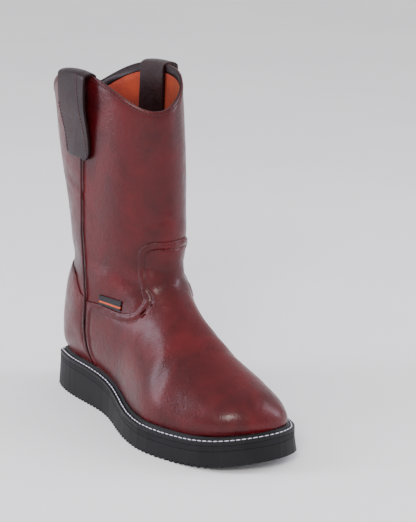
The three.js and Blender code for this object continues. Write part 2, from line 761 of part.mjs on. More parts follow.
// Looped strap over the collar: up the outside, over the edge and down the inside
function pullStrap(side) {
  const half = STRAP_THICKNESS / 2;
  const sewn = GAP + half;
  const out = sewn + STRAP_STAND_OFF;
  const inner = -UPPER_WALL - STRAP_INNER_GAP - half;
  const radius = (out - inner) / 2;
  const turnLevel = STRAP_RISE - half - radius / 2;
  const outer = STRAP_OUTER_LEG;
  const path = STRAP_BULGE.map((row) => [sewn + row.off * STRAP_STAND_OFF, -row.down * outer]);
  for (let turn = 0; turn <= STRAP_TURN_STEPS; turn += 1) {
    const angle = turn * Math.PI / STRAP_TURN_STEPS;
    path.push([inner + radius * (1 + Math.cos(angle)), turnLevel + radius * Math.sin(angle) / 2]);
  }
  path.push([inner, -STRAP_INNER_LEG / 2], [inner, -STRAP_INNER_LEG]);
  const points = [];
  const faces = [];
  const steps = STRAP_WIDTH_STEPS;
  for (let step = 0; step <= steps; step += 1) {
    const along = STRAP_PLACE + STRAP_WIDTH * (step / steps - 0.5);
    const rim = acrossAt(side, COLLAR_ROW, along);
    const collar = surface(COLLAR_ROW, rim).z;
    for (const [distance, rise] of path) {
      const level = collar + rise;
      const place = along + STRAP_LEAN * Math.min(0, rise) / outer;
      const near = rise < 0 ? rowAtLevel(rim, level) : COLLAR_ROW;
      const across = acrossAt(side, near, place);
      const row = rise < 0 ? rowAtLevel(across, level) : COLLAR_ROW;
      const point = surface(row, across);
      const turnLine = surface(row, across + TURN_STEP).sub(surface(row, across - TURN_STEP));
      const normal = new THREE.Vector3(turnLine.y, -turnLine.x, 0).normalize();
      points.push(point.addScaledVector(normal, distance).setZ(level));
    }
  }
  for (let step = 0; step < steps; step += 1) {
    for (let index = 0; index < path.length - 1; index += 1) {
      const corner = step * path.length + index;
      faces.push([corner, corner + 1, corner + path.length + 1, corner + path.length]);
    }
  }
  return geometryFrom(thicken(weld(points, faces), -half, half));
}

// Wedge sole with grooves across its tread, from the heel to the smooth toe bumper
function outsole() {
  const body = solidFrom(plate([loop(0, floorLine), loop(WALL_FLARE, wedgeTop)]));
  const first = HEEL_ROUND;
  const count = Math.floor((SOLE_LENGTH - TOE_BUMPER - first) / TREAD_PITCH);
  const below = 4;
  const comb = [[first - TREAD_PITCH, -below]];
  for (let index = 0; index < count; index += 1) {
    const start = first + index * TREAD_PITCH;
    const end = start + TREAD_GROOVE;
    const slope = TREAD_GROOVE / 4;
    comb.push([start, floorLine(start) - 1]);
    comb.push([start, floorLine(start)]);
    comb.push([start + slope, floorLine(start + slope) + TREAD_DEPTH]);
    comb.push([end - slope, floorLine(end - slope) + TREAD_DEPTH]);
    comb.push([end, floorLine(end)]);
    comb.push([end, floorLine(end) - 1]);
  }
  const finish = first + count * TREAD_PITCH;
  comb.push([finish, floorLine(finish) - 1], [finish, -below]);
  return geometryOf(body.subtract(prism(comb.reverse(), 'x', -ALL_ACROSS, ALL_ACROSS)));
}

function midsole() {
  return plate([loop(WALL_FLARE, (along) => wedgeTop(along) + GAP), loop(WALL_FLARE, midsoleTop)]);
}

// Welt all round, with the storm lip against the upper
function welt() {
  const low = featherLevel;
  const top = (along) => featherLevel(along) + WELT_THICKNESS;
  const inset = WALL_FLARE + WELT_REACH;
  return ring([
    loop(inset, low),
    loop(WALL_FLARE, low),
    loop(WALL_FLARE, (along) => top(along) - WELT_BEVEL),
    loop(WALL_FLARE + WELT_BEVEL, top),
    loop(inset - LIP_WIDTH, top),
    loop(inset - LIP_WIDTH * 0.8, (along) => top(along) + LIP_HEIGHT * 0.6),
    loop(inset - LIP_WIDTH * 0.45, (along) => top(along) + LIP_HEIGHT),
    loop(inset, (along) => top(along) + LIP_HEIGHT * 0.9),
  ]);
}

function insole() {
  const inset = FEATHER_INSET + UPPER_WALL + INSOLE_CLEARANCE;
  const low = (along) => featherLevel(along) + UPPER_WALL + GAP;
  return plate([loop(inset, low), loop(inset, (along) => low(along) + INSOLE_THICKNESS)]);
}

const group = new THREE.Group();

function add(name, geometry, colour, roughness) {
  const material = new THREE.MeshStandardMaterial({ color: colour, roughness, metalness: 0 });
  const mesh = new THREE.Mesh(geometry, material);
  mesh.name = name;
  group.add(mesh);
}

const LEATHER = 0x6b2a30;
const STRAP_LEATHER = 0x452028;
const RUBBER = 0x2b2b30;
const INSOLE_BOARD = 0xb5451c;
const WOVEN = 0x1c1c20;

add('outsole', outsole(), RUBBER, 0.85);
add('midsole', midsole(), RUBBER, 0.75);
add('welt', welt(), RUBBER, 0.6);
add('insole', insole(), INSOLE_BOARD, 0.9);
add('upper', upper(), LEATHER, 0.35);
add('vamp', vamp(), LEATHER, 0.3);
add('heel_counter', heelCounter(), LEATHER, 0.35);
add('side_piping_outer', sidePiping(-1), LEATHER, 0.35);
add('side_piping_inner', sidePiping(1), LEATHER, 0.35);
add('pull_strap_outer', pullStrap(-1), STRAP_LEATHER, 0.4);
add('pull_strap_inner', pullStrap(1), STRAP_LEATHER, 0.4);
add('side_tag', sideTag(), WOVEN, 0.9);

// The frame's origin is on the floor, under the middle of the whole boot
const bounds = new THREE.Box3().setFromObject(group);
const centre = bounds.getCenter(new THREE.Vector3());
group.position.set(-centre.x, -centre.y, -bounds.min.z);

export default group;
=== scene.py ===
# %% [markdown]
# # A western work boot
# The boot is a pull-on boot of oiled leather, the right one of a pair, standing empty on its own
# sole. The solids that were drawn for it come in first and stay where they are. Each leather part
# is then cut again from one smooth skin that lies on those solids, because real uppers are flat
# hides pulled over a last: every panel follows the same curve and only its edge stands up.

# %% The frame and the tools
import math
import bmesh
import bpy
import numpy as np
from mathutils import Matrix, Vector
from mathutils.bvhtree import BVHTree
from mathutils.kdtree import KDTree


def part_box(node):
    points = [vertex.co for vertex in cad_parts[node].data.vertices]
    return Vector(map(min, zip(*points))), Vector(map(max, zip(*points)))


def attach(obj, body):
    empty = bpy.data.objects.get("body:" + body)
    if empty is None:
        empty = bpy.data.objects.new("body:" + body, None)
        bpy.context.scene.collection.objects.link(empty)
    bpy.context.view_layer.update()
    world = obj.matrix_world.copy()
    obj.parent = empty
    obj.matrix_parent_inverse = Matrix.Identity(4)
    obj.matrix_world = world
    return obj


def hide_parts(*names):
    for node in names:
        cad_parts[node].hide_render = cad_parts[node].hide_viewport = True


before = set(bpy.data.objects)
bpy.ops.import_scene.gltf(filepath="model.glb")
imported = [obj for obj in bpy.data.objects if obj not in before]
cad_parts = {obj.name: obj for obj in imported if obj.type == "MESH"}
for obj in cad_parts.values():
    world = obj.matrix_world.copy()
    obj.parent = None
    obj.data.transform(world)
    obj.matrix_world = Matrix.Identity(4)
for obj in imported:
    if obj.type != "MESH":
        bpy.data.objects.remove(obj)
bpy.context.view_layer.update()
MM = 0.001
HEEL_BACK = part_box("outsole")[1].y
AXIS_SHIFT = 1.08 * MM


def at(x, forward, z):
    """A place on the boot from its own sizes in mm: across, forward of the heel's back, and up."""
    return Vector((x * MM + AXIS_SHIFT, HEEL_BACK - forward * MM, z * MM))


# %% [markdown]
# ## Camera, floor and light
# The picture was taken from in front of the boot's outer side and a little above it. A long lens
# keeps the sole nearly straight. The shift centres the boot without turning the camera. The pale
# floor and a bright sky all round give wax-dressed leather the pale lilac edge that it shows
# where the hide turns away, and three big soft lamps draw the broad highlights.

# %% Camera
camera_data = bpy.data.cameras.new("camera")
camera = bpy.data.objects.new("camera", camera_data)
bpy.context.scene.collection.objects.link(camera)
camera.location = (-0.8135, -1.1295, 0.5511)
aim = Vector((0.00108, -0.0015, 0.150)) - camera.location
camera.rotation_euler = aim.to_track_quat("-Z", "Y").to_euler()
camera_data.sensor_fit = "AUTO"
camera_data.sensor_width = 36
camera_data.lens = 1601 * 36 / 522
camera_data.shift_x = (208 - 164.1) / 522
camera_data.shift_y = (264.5 - 261) / 522
camera_data.clip_start = 0.05
bpy.context.scene.camera = camera
print("lens in mm:", round(camera_data.lens, 1))

# %% Colours and shader nodes


def linear(code, alpha=1.0):
    """An sRGB hex colour as the linear values that a shader works in."""
    parts = [int(code[i:i + 2], 16) / 255 for i in (1, 3, 5)]
    return [p / 12.92 if p <= 0.04045 else ((p + 0.055) / 1.055) ** 2.4 for p in parts] + [alpha]


def add(tree, kind, settings=None, links=None):
    """A shader node with its settings, socket values and the sockets that feed it."""
    node = tree.nodes.new("ShaderNode" + kind)
    for key, value in (settings or {}).items():
        if isinstance(key, str) and hasattr(node, key):
            setattr(node, key, value)
        else:
            node.inputs[key].default_value = value
    for key, source in (links or {}).items():
        tree.links.new(source, node.inputs[key])
    return node


def ramp(tree, source, stops):
    """A colour ramp from (place, hex colour) stops."""
    node = add(tree, "ValToRGB", {}, {"Fac": source})
    band = node.color_ramp.elements
    while len(band) < len(stops):
        band.new(0.5)
    for element, (place, code) in zip(band, stops):
        element.position = place
        element.color = linear(code)
    return node.outputs["Color"]


def start(name):
    """An empty node material with its output and a Principled shader joined to it."""
    made = bpy.data.materials.new(name)
    made.use_nodes = True
    made.node_tree.nodes.clear()
    shader = add(made.node_tree, "BsdfPrincipled")
    add(made.node_tree, "OutputMaterial", {}, {"Surface": shader.outputs["BSDF"]})
    return made, made.node_tree, shader


# %% Floor and lamps
paper, tree, shader = start("pale_studio_paper")
cloudy = add(tree, "TexNoise", {"Scale": 3.0, "Detail": 2.0},
             {"Vector": add(tree, "TexCoord").outputs["Object"]})
tree.links.new(ramp(tree, cloudy.outputs["Fac"], [(0.3, "#f4f4f5"), (0.7, "#fafafa")]),
               shader.inputs["Base Color"])
shader.inputs["Roughness"].default_value = 0.9
floor_shape = bmesh.new()
bmesh.ops.create_grid(floor_shape, x_segments=1, y_segments=1, size=6)
floor_mesh = bpy.data.meshes.new("floor")
floor_shape.to_mesh(floor_mesh)
floor_shape.free()
floor_mesh.materials.append(paper)
floor = bpy.data.objects.new("floor", floor_mesh)
bpy.context.scene.collection.objects.link(floor)

world = bpy.data.worlds.new("studio")
bpy.context.scene.world = world
world.use_nodes = True
world.node_tree.nodes["Background"].inputs["Color"].default_value = linear("#f4f2f6")
world.node_tree.nodes["Background"].inputs["Strength"].default_value = 1.15


def lamp(name, place, target, size, power, colour):
    """A soft rectangular lamp that faces a point."""
    data = bpy.data.lights.new(name, "AREA")
    data.shape = "RECTANGLE"
    data.size, data.size_y = size
    data.energy = power
    data.color = linear(colour)[:3]
    made = bpy.data.objects.new(name, data)
    made.location = place
    made.rotation_euler = (Vector(target) - Vector(place)).to_track_quat("-Z", "Y").to_euler()
    bpy.context.scene.collection.objects.link(made)


lamp("key_lamp", (-1.5, -1.3, 1.5), (0, 0, 0.15), (0.6, 0.6), 34, "#fffaf4")
lamp("left_strip", (-1.4, 0.9, 0.8), (0, 0, 0.15), (0.5, 1.5), 24, "#f1edff")
lamp("right_strip", (1.3, -0.9, 0.9), (0, 0, 0.15), (0.5, 1.4), 18, "#f1edff")

# %% [markdown]
# ## One smooth skin over the last
# The upper's solid is faceted, with an outer wall, an inner wall and a rim. The outer wall alone
# is what the shoemaker pulls over the last, so it is taken by walking from one outer face to its
# neighbours and stopping at every sharp edge. Its triangles are joined to quads, and subdivision
# turns the facets into one smooth skin. Every leather part below starts from a copy of it.

# %% Copies of the solids


def merged(node):
    """The mesh of a solid with its loose triangles welded together."""
    shape = bmesh.new()
    shape.from_mesh(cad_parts[node].data)
    bmesh.ops.remove_doubles(shape, verts=shape.verts, dist=0.02 * MM)
    bmesh.ops.dissolve_degenerate(shape, dist=0.01 * MM, edges=shape.edges)
    shape.normal_update()
    return shape


def quads(shape):
    """Joins the triangle pairs of a mesh to quads."""
    bmesh.ops.join_triangles(shape, faces=shape.faces, angle_face_threshold=math.radians(50),
                             angle_shape_threshold=math.radians(80))


def subdivided(shape, levels):
    """The mesh after Catmull-Clark subdivision."""
    mesh = bpy.data.meshes.new("work")
    shape.to_mesh(mesh)
    shape.free()
    holder = bpy.data.objects.new("work", mesh)
    bpy.context.scene.collection.objects.link(holder)
    modifier = holder.modifiers.new("smooth", "SUBSURF")
    modifier.levels = levels
    modifier.render_levels = levels
    view = bpy.context.evaluated_depsgraph_get()
    result = bmesh.new()
    result.from_mesh(holder.evaluated_get(view).to_mesh())
    bpy.data.objects.remove(holder)
    bpy.data.meshes.remove(mesh)
    result.normal_update()
    return result


# %% The skin
SHARP = math.radians(58)
shape = merged("upper")
first = min(shape.faces, key=lambda face: (face.calc_center_median() - at(-60, 95, 200)).length)
outer = {first}
waiting = [first]
while waiting:
    face = waiting.pop()
    for edge in face.edges:
        if len(edge.link_faces) == 2 and edge.calc_face_angle(0) < SHARP:
            for other in edge.link_faces:
                if other not in outer:
                    outer.add(other)
                    waiting.append(other)
bmesh.ops.delete(shape, geom=[face for face in shape.faces if face not in outer], context="FACES")
quads(shape)
print("faces of the outer wall:", len(shape.faces))
skin = subdivided(shape, 2)
print("faces of the smooth skin:", len(skin.faces))



def finished(shape, name, material, replaced=(), smooth=True):
    """A piece of the boot from a mesh, riding on the boot's one body."""
    for face in shape.faces:
        face.smooth = smooth
    mesh = bpy.data.meshes.new(name)
    shape.to_mesh(mesh)
    shape.free()
    mesh.materials.append(material)
    made = bpy.data.objects.new(name, mesh)
    bpy.context.scene.collection.objects.link(made)
    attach(made, "root")
    if replaced:
        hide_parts(*replaced)
    print(name, "has", len(mesh.polygons), "faces")
    return made


# %% [markdown]
# ## The folds that wear pressed in
# Leather that has been pulled over a last and handled has broad soft dents: a puffed ridge where
# the quarter bulges over the vamp's throat, creases at the ankle's bend and under the pull
# straps, and faint flex lines over the toes. Each one is a line laid on the skin, with a
# width and a height, and pushes the skin out or in by a soft bell-shaped amount. Sculpting by
# hand would look alike, but a list of lines is easy to read and to change.

# %% Folds
FOLDS = [
    (1.7, 20.0, [(18, 178, 106), (20, 200, 92), (22, 225, 78), (22, 250, 66)]),
    (1.6, 24.0, [(-4, 178, 110), (-2, 200, 96), (0, 225, 82), (0, 250, 70)]),
    (-3.2, 12.0, [(-4, 160, 138), (12, 160, 136), (24, 154, 138), (32, 142, 140)]),
    (1.2, 16.0, [(0, 160, 178), (16, 158, 180), (28, 146, 182)]),
    (-3.4, 15.0, [(-34, 50, 138), (-26, 28, 134), (-10, 12, 130), (6, 8, 130), (22, 14, 134), (32, 30, 138)]),
    (1.5, 6.0, [(-35, 108, 135), (-33, 116, 132), (-29.5, 126, 127), (-27, 137, 123), (-26, 146, 116)]),
    (-1.0, 5.5, [(-37, 88, 150), (-35, 102, 146), (-31, 118, 141), (-27, 131, 137), (-23, 143, 131)]),
    (0.7, 6.0, [(-37, 86, 133), (-35, 98, 128), (-33, 110, 122)]),
    (-0.6, 2.6, [(-30, 36, 222), (-33, 43, 220), (-38, 67, 213), (-38, 80, 210)]),
    (0.5, 3.4, [(-30, 36, 217), (-37, 60, 210), (-38, 78, 205)]),
    (-0.9, 13.0, [(-37, 96, 170), (-37, 96, 230), (-40, 100, 285)]),
    (0.8, 14.0, [(-30, 126, 165), (-30, 128, 225), (-32, 132, 290)]),
    (-0.6, 9.0, [(-14, 152, 190), (-14, 153, 240), (-14, 155, 285)]),
    (-1.0, 6.0, [(-19, 148, 150), (-9, 157, 149), (6, 161, 150), (20, 158, 152), (30, 148, 154)]),
    (0.8, 6.0, [(-17, 152, 138), (-8, 160, 137), (7, 163, 138), (22, 160, 140)]),
    (-0.3, 5.0, [(-38, 205, 62), (-24, 204, 84), (-4, 203, 95), (16, 202, 90), (34, 206, 68)]),
    (0.3, 5.0, [(-39, 216, 58), (-24, 214, 78), (-4, 213, 89), (16, 212, 84), (36, 216, 62)]),
    (-0.25, 4.0, [(-40, 228, 54), (-24, 226, 72), (-4, 224, 83), (16, 224, 78), (38, 228, 58)]),
    (-0.9, 7.0, [(-26, 26, 168), (-12, 14, 163), (4, 10, 162), (20, 16, 165), (30, 30, 170)]),
    (0.8, 7.0, [(-26, 24, 152), (-12, 11, 149), (4, 8, 148), (20, 12, 150), (30, 26, 154)]),
    (-0.7, 5.0, [(-24, 24, 188), (-10, 13, 192), (6, 10, 190)]),
    (1.2, 6.5, [(37, 108, 137), (35, 118, 133), (32, 130, 127), (30, 140, 121)]),
    (-0.9, 5.5, [(39, 90, 152), (37, 104, 148), (33, 120, 143), (29, 134, 137)]),
    (-0.8, 13.0, [(40, 98, 175), (41, 98, 235), (43, 100, 285)]),
    (0.8, 14.0, [(33, 128, 170), (33, 130, 225), (34, 134, 285)]),
    (0.5, 7.0, [(-36, 60, 100), (-37, 62, 80), (-36, 66, 60)]),
]


def nearness(places, line):
    """The distance in mm from each place to a line of points."""
    best = np.full(len(places), 1e9)
    for a, b in zip(line[:-1], line[1:]):
        step = b - a
        along = np.clip((places - a) @ step / (step @ step), 0, 1)
        best = np.minimum(best, np.linalg.norm(places - a - along[:, None] * step, axis=1))
    return best


skin.verts.ensure_lookup_table()
surface = BVHTree.FromBMesh(skin)
places = np.array([v.co for v in skin.verts]) / MM
lift = np.zeros(len(places))
for height, width, line in FOLDS:
    laid = np.array([surface.find_nearest(at(*point))[0] for point in line]) / MM
    lift += height * np.exp(-(nearness(places, laid) / width) ** 2)
# The fold height is also kept for the leather's colour, which paints shade into the hollows from it.
fold = skin.verts.layers.float.new("fold")
for vertex, amount in zip(skin.verts, lift):
    vertex[fold] = amount
    vertex.co += vertex.normal * amount * MM
skin.normal_update()
print("folds from", round(lift.min(), 2), "to", round(lift.max(), 2), "mm")

# %% [markdown]
# ## Cutting a panel out of the skin
# A panel's edge comes from its own solid: every place on the skin gets its distance from that
# solid's edge, plus inside and minus outside. The skin is then cut along the line where the
# distance is nothing, which gives a clean edge that crosses the faces, and again along lines just
# inside it. The distance stays on the panel as an attribute, so that the edge's rounding, the
# puffed band and the stitch grooves can all be written as one height for each distance.

# %% Distance and cut


def sharp_samples(node, keep):
    """Points every half millimetre along a solid's sharp edges."""
    shape = merged(node)
    found = []
    for edge in shape.edges:
        if len(edge.link_faces) == 2 and edge.calc_face_angle(0) > math.radians(60):
            a, b = edge.verts[0].co, edge.verts[1].co
            if keep(a, b):
                count = max(1, round((b - a).length / (0.5 * MM)))
                found += [a.lerp(b, step / count) for step in range(count + 1)]
    return found, BVHTree.FromBMesh(shape)


def tree_of(points):
    """A search tree over points."""
    found = KDTree(len(points))
    for index, point in enumerate(points):
        found.insert(point, index)
    found.balance()
    return found


def marked(shape, node, name, keep=lambda a, b: True):
    """Writes each vertex's distance in mm from the edge of a solid that lies on the skin."""
    samples, solid = sharp_samples(node, keep)
    edge_tree = tree_of(samples)
    layer = shape.verts.layers.float.new(name)
    for vertex in shape.verts:
        nearest, _, _ = edge_tree.find(vertex.co)
        away = nearest - vertex.co
        flat = (away - vertex.normal * away.dot(vertex.normal)).length / MM
        hit = solid.ray_cast(vertex.co + vertex.normal * 6 * MM, -vertex.normal, 9 * MM)[0]
        vertex[layer] = flat if hit is not None else -max(flat, away.length / MM * 0.5)
    return layer


def cut(shape, layer, level):
    """Cuts the faces along the line where the layer has a value, and returns the line's vertices."""
    line = [v for v in shape.verts if abs(v[layer] - level) < 0.06]
    for vertex in line:
        vertex[layer] = level
    for edge in list(shape.edges):
        a, b = edge.verts
        if (a[layer] - level) * (b[layer] - level) < 0:
            share = (level - a[layer]) / (b[layer] - a[layer])
            _, middle = bmesh.utils.edge_split(edge, a, share)
            middle[layer] = level
            line.append(middle)
    bmesh.ops.connect_verts(shape, verts=line)
    shape.normal_update()
    return line


def drop_outside(shape, layer, level=0):
    """Removes what lies outside the line."""
    away = [f for f in shape.faces if sum(v[layer] for v in f.verts) / len(f.verts) < level]
    bmesh.ops.delete(shape, geom=away, context="FACES")


def runs(shape, layer, level, above=0):
    """The cut line at a level as runs of points in order, with the surface's direction at each."""
    on = {v for v in shape.verts if abs(v[layer] - level) < 1e-4 and v.co.z > above * MM}
    links = {v: [e.other_vert(v) for e in v.link_edges if e.other_vert(v) in on] for v in on}
    found = []
    while on:
        begin = min(on, key=lambda v: (len(links[v]), v.co.z, v.co.y))
        run = [begin]
        on.discard(begin)
        while True:
            onward = [v for v in links[run[-1]] if v in on]
            if not onward:
                break
            onward.sort(key=lambda v: (v.co - run[-1].co).length)
            run.append(onward[0])
            on.discard(onward[0])
        if len(run) > 5:
            found.append([(v.co.copy(), v.normal.copy()) for v in run])
    return found


# %% [markdown]
# ## Thread
# A stitch that shows is a short bead of waxed thread lying along the seam. A low sphere with a
# few dozen faces, stretched and laid along the line, is enough at this size, so that hundreds of
# them stay light.

# %% Stitches


def spaced(run, pitch):
    """Places along a run at even spacing: point, direction and surface direction."""
    gone = 0
    wanted = pitch / 2
    found = []
    for (a, na), (b, nb) in zip(run[:-1], run[1:]):
        length = (b - a).length
        while length and wanted <= gone + length:
            share = (wanted - gone) / length
            found.append((a.lerp(b, share), (b - a).normalized(), na.lerp(nb, share).normalized()))
            wanted += pitch
        gone += length
    return found


def sew(shape, run, pitch, length, width, sink=0.35):
    """Lays stitches along a run. Sizes in mm, and sink is the share of a thread under the surface."""
    for place, way, out in spaced(run, pitch * MM):
        side = out.cross(way).normalized()
        up = way.cross(side).normalized()
        turn = Matrix((way, side, up)).transposed().to_4x4()
        size = Matrix.Diagonal((length / 2 * MM, width / 2 * MM, width / 2 * MM, 1))
        move = Matrix.Translation(place + up * (0.5 - sink) * width * MM)
        bmesh.ops.create_uvsphere(shape, u_segments=8, v_segments=5, radius=1,
                                  matrix=move @ turn @ size @ Matrix.Rotation(math.pi / 2, 4, "Y"))


# %% [markdown]
# ## Oiled leather
# The upper is full-grain cowhide, drum-dyed burgundy and stuffed with oil and wax, then brushed.
# The oil moves when the hide bends, so the colour is cloudy. The fold height shifts it as well:
# the folds' hollows are painted darker as painted shade, and raised folds come out lighter and
# redder where the hide is stretched and rubbed. The wax gives a clear, slightly soft gloss over
# the grain. The grain's real cells are under a millimetre across, too fine for this picture, so
# they are drawn a little coarser.

# %% Leather materials
GRAIN_CELLS = 1 / 1.5 / MM
PORES = 1 / 0.6 / MM
CLOUDS = 1 / 42 / MM
MOTTLE = 1 / 11 / MM


def oiled(name, dark, middle, light, roughness, fold_shade_and_wear=True):
    """Oiled and waxed grain leather from its dark, middle and light colours; when asked, the fold height paints
    shade into hollows and rubbed wear onto raised folds.
    """
    made, tree, shader = start(name)
    place = add(tree, "TexCoord").outputs["Object"]
    cloud = add(tree, "TexNoise", {"Scale": CLOUDS, "Detail": 3.0, "Distortion": 0.6}, {"Vector": place})
    mottle = add(tree, "TexNoise", {"Scale": MOTTLE, "Detail": 4.0, "Roughness": 0.6}, {"Vector": place})
    tone = add(tree, "Math", {"operation": "MULTIPLY_ADD", 1: 0.3},
               {0: mottle.outputs["Fac"], 2: cloud.outputs["Fac"]}).outputs["Value"]
    # The fold height darkens the hollows as painted shade and lightens the raised folds as rubbed wear.
    if fold_shade_and_wear:
        fold = add(tree, "Attribute", {"attribute_name": "fold"}).outputs["Fac"]
        tone = add(tree, "Math", {"operation": "MULTIPLY_ADD", 1: 0.08}, {0: fold, 2: tone}).outputs["Value"]
    colour = ramp(tree, tone, [(0.38, dark), (0.64, middle), (0.9, light)])
    tree.links.new(colour, shader.inputs["Base Color"])
    cells = add(tree, "TexVoronoi", {"feature": "F1", "Scale": GRAIN_CELLS}, {"Vector": place})
    pores = add(tree, "TexNoise", {"Scale": PORES, "Detail": 2.0}, {"Vector": place})
    wrinkle = add(tree, "TexNoise", {"Scale": 1 / 7 / MM, "Detail": 3.0, "Distortion": 1.2}, {"Vector": place})
    fine = add(tree, "Bump", {"Strength": 0.35, "Distance": 0.10 * MM}, {"Height": pores.outputs["Fac"]})
    grain = add(tree, "Bump", {"Strength": 0.5, "Distance": 0.13 * MM},
                {"Height": cells.outputs["Distance"], "Normal": fine.outputs["Normal"]})
    waves = add(tree, "Bump", {"Strength": 0.5, "Distance": 0.9 * MM},
                {"Height": wrinkle.outputs["Fac"], "Normal": grain.outputs["Normal"]})
    tree.links.new(waves.outputs["Normal"], shader.inputs["Normal"])
    wax = add(tree, "MapRange", {"From Min": 0.3, "From Max": 0.75, "To Min": roughness - 0.07,
                                 "To Max": roughness + 0.12}, {"Value": mottle.outputs["Fac"]})
    tree.links.new(wax.outputs["Result"], shader.inputs["Roughness"])
    shader.inputs["IOR"].default_value = 1.5
    shader.inputs["Specular IOR Level"].default_value = 0.22
    shader.inputs["Coat Weight"].default_value = 0.16
    shader.inputs["Coat Roughness"].default_value = 0.2
    return made


leather = oiled("oiled_burgundy_leather", "#300409", "#42060b", "#520910", 0.34)
strap_leather = oiled("dark_strap_leather", "#120507", "#1b080b", "#270c10", 0.45, False)
facing_leather = oiled("grey_burgundy_facing_leather", "#12080a", "#1b0d10", "#261418", 0.6, False)
piping_leather = oiled("rolled_burgundy_piping", "#220407", "#33070b", "#440b10", 0.38, False)

# %% Thread materials


def thread(name, code, shade):
    """Twisted waxed polyester thread."""
    made, tree, shader = start(name)
    place = add(tree, "TexCoord").outputs["Object"]
    twist = add(tree, "TexNoise", {"Scale": 1 / 0.8 / MM, "Detail": 2.0}, {"Vector": place})
    tree.links.new(ramp(tree, twist.outputs["Fac"], [(0.3, shade), (0.6, code)]), shader.inputs["Base Color"])
    bump = add(tree, "Bump", {"Strength": 0.4, "Distance": 0.1 * MM}, {"Height": twist.outputs["Fac"]})
    tree.links.new(bump.outputs["Normal"], shader.inputs["Normal"])
    shader.inputs["Roughness"].default_value = 0.55
    return made


upper_thread = thread("burgundy_waxed_thread", "#4a1a1f", "#2a0e12")
welt_thread = thread("white_waxed_thread", "#e6e6f2", "#b8b8cc")

# %% [markdown]
# ## Shaft and quarters
# The tall tube of the boot is one wall of leather with a lining inside. The skin gets its
# thickness inwards, so the outside stays where the solid has it. A row of stitches runs under
# the collar's edge.

# %% Collar distance and the upper's leather
collar = [v.co.copy() for v in skin.verts if v.is_boundary and v.co.z > 200 * MM]
collar_tree = tree_of(collar)
drop = skin.verts.layers.float.new("drop")
for vertex in skin.verts:
    vertex[drop] = collar_tree.find(vertex.co)[2] / MM


def thick(piece, millimetres, offset=-1):
    """Gives a sheet its thickness, inwards unless told otherwise."""
    modifier = piece.modifiers.new("thickness", "SOLIDIFY")
    modifier.thickness = millimetres * MM
    modifier.offset = offset
    return piece


shape = skin.copy()
drop = shape.verts.layers.float["drop"]
collar_line = cut(shape, drop, 3.0)
threads = bmesh.new()
for run in runs(shape, drop, 3.0, 200):
    sew(threads, run, 3.2, 2.5, 0.75)
for vertex in shape.verts:
    vertex.co -= vertex.normal * 0.5 * MM * math.exp(-((vertex[drop] - 3.0) / 0.8) ** 2)
thick(finished(shape, "upper_leather", leather, ("upper",)), 1.4)

# %% [markdown]
# ## Lining and facing
# Inside, a band of thin leather folds down from the collar and an orange lining carries on below
# it. Both come from the same skin, moved in by the leather's thickness. The cut between them
# follows the collar at an even distance.

# %% Lining
lining_cloth, tree, shader = start("orange_brushed_lining")
place = add(tree, "TexCoord").outputs["Object"]
nap = add(tree, "TexNoise", {"Scale": 1 / 1.2 / MM, "Detail": 4.0}, {"Vector": place})
tone = add(tree, "TexNoise", {"Scale": 1 / 30 / MM, "Detail": 3.0}, {"Vector": place})
blend_tone = add(tree, "Math", {"operation": "MULTIPLY_ADD", 1: 0.4},
                 {0: nap.outputs["Fac"], 2: tone.outputs["Fac"]})
tree.links.new(ramp(tree, blend_tone.outputs["Value"], [(0.5, "#641604"), (0.7, "#802006"), (0.85, "#98300c")]),
               shader.inputs["Base Color"])
bump = add(tree, "Bump", {"Strength": 0.5, "Distance": 0.2 * MM}, {"Height": nap.outputs["Fac"]})
tree.links.new(bump.outputs["Normal"], shader.inputs["Normal"])
shader.inputs["Roughness"].default_value = 0.85
shader.inputs["Sheen Weight"].default_value = 0.3
shader.inputs["Sheen Tint"].default_value = linear("#e08a50")

FACING_DEPTH = 8
inside = skin.copy()
drop = inside.verts.layers.float["drop"]
cut(inside, drop, FACING_DEPTH)
for vertex in inside.verts:
    vertex.co -= vertex.normal * 1.42 * MM
facing = inside.copy()
for shape, beyond in ((inside, False), (facing, True)):
    drop = shape.verts.layers.float["drop"]
    away = [f for f in shape.faces
            if (sum(v[drop] for v in f.verts) / len(f.verts) > FACING_DEPTH) == beyond]
    bmesh.ops.delete(shape, geom=away, context="FACES")
thick(finished(inside, "orange_lining", lining_cloth), 1.1)
thick(finished(facing, "collar_facing", facing_leather), 1.25)

# %% [markdown]
# ## Vamp and heel counter
# The vamp covers the foot's front and runs up as a tongue, and the counter wraps the heel. Both
# are second layers sewn on the skin. Their edges are skived thin and rounded, the vamp has a
# puffed band between its edge and an inner row, and every row pulls its thread into a groove.

# %% Panels
ROUNDING = 0.9


def panel(node, name, height, levels, rows, keep=lambda a, b: True):
    """A sewn-on leather panel: its height for each distance from the edge, and its stitch rows."""
    shape = skin.copy()
    layer = marked(shape, node, "inset", keep)
    cut(shape, layer, 0)
    drop_outside(shape, layer)
    for level in levels:
        cut(shape, layer, level)
    for vertex in shape.verts:
        vertex.co += vertex.normal * height(vertex[layer]) * MM
    shape.normal_update()
    for level in rows:
        for run in runs(shape, layer, level, 44):
            sew(threads, run, 3.2, 2.5, 0.75)
    return thick(finished(shape, name, leather, (node,)), 0.9)


def rounded(distance, thickness):
    """The height of a skived edge at a distance from it."""
    share = min(max(distance, 0) / ROUNDING, 1)
    return thickness * math.sqrt(1 - (1 - share) ** 2)


def groove(distance, middle, depth, width=0.8):
    """How far a row of thread pulls the leather in."""
    return -depth * math.exp(-((distance - middle) / width) ** 2)


def vamp_height(distance):
    band = min(max((distance - 1) / 6.2, 0), 1)
    return (rounded(distance, 1.5) + 0.8 * math.sin(math.pi * band) ** 1.5
            + groove(distance, 2.0, 0.3) + groove(distance, 7.6, 0.75, 1.0))


